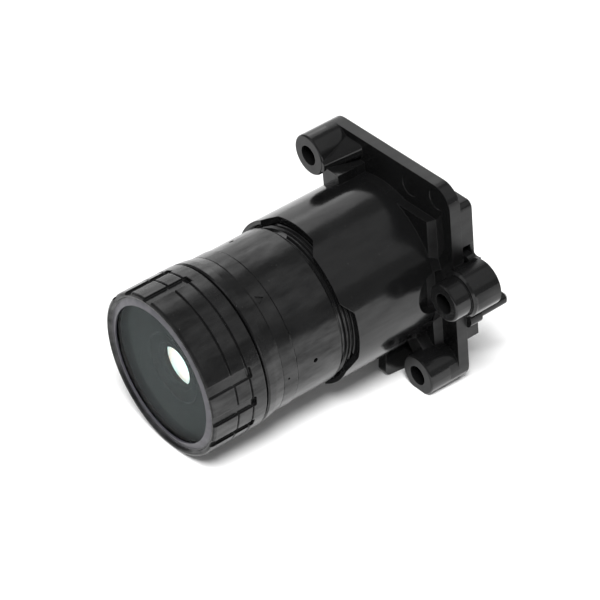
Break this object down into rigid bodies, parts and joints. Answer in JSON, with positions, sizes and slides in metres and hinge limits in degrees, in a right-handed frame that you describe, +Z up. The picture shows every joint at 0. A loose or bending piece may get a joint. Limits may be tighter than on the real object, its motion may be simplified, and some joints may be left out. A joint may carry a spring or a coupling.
{
  "type": "camera lens and holder",
  "caption": "Fixed-focus camera lens with a fine thread, screwed into a moulded holder with screw bosses, locating pins and a sensor cavity.",
  "frame": {"origin": "where the optical axis meets the holder's rear face, the face that sits on the camera's circuit board", "axes": "+Y along the optical axis from the lens to the sensor, so the lens looks along -Y; +Z up, towards the upper screw boss; +X towards the side screw boss"},
  "size_m": [0.018, 0.0256, 0.0175],
  "materials": {
    "holder_plastic": "moulded, glossy, black",
    "barrel_plastic": "satin, black",
    "ring_plastic": "satin, black",
    "front_glass": "polished, coated",
    "optic_glass": "polished, green coating",
    "filter_glass": "coated, bluish",
    "adhesive": "cured adhesive",
    "foam": "soft foam",
    "seal_rubber": "smooth",
    "black_metal": "flat black",
    "cell_metal": "black anodised"
  },
  "bodies": {
    "holder": {"lens_holder": "holder_plastic", "ir_cut_filter": "filter_glass", "filter_adhesive": "adhesive", "sensor_gasket": "foam"},
    "optics": {"lens_cell": "cell_metal", "second_element": "optic_glass", "front_spacer": "black_metal", "third_element": "optic_glass", "aperture_stop": "black_metal", "stop_spacer": "black_metal", "crown_element": "optic_glass", "flint_element": "optic_glass", "rear_spacer": "black_metal", "rear_element": "optic_glass", "rear_lock_ring": "black_metal"},
    "barrel": {"lens_barrel": "barrel_plastic", "cell_glue_plugs": "adhesive", "index_ring": "ring_plastic", "clamp_ring": "ring_plastic", "front_ring": "ring_plastic", "front_element": "front_glass", "front_seal": "seal_rubber", "front_baffle": "black_metal"}
  },
  "joints": [
    {"name": "focus_travel", "type": "slide", "parent": "holder", "child": "optics", "axis": [0, 1, 0], "range_m": [-0.0007, 0.00035]},
    {"name": "focus_turn", "type": "hinge", "parent": "optics", "child": "barrel", "pos_m": [0, -0.012, 0], "axis": [0, 1, 0], "range_deg": [-721, 361]}
  ],
  "couplings": [
    {"joint": "focus_turn", "follows": "focus_travel", "rad_per_m": 17952}
  ]
}
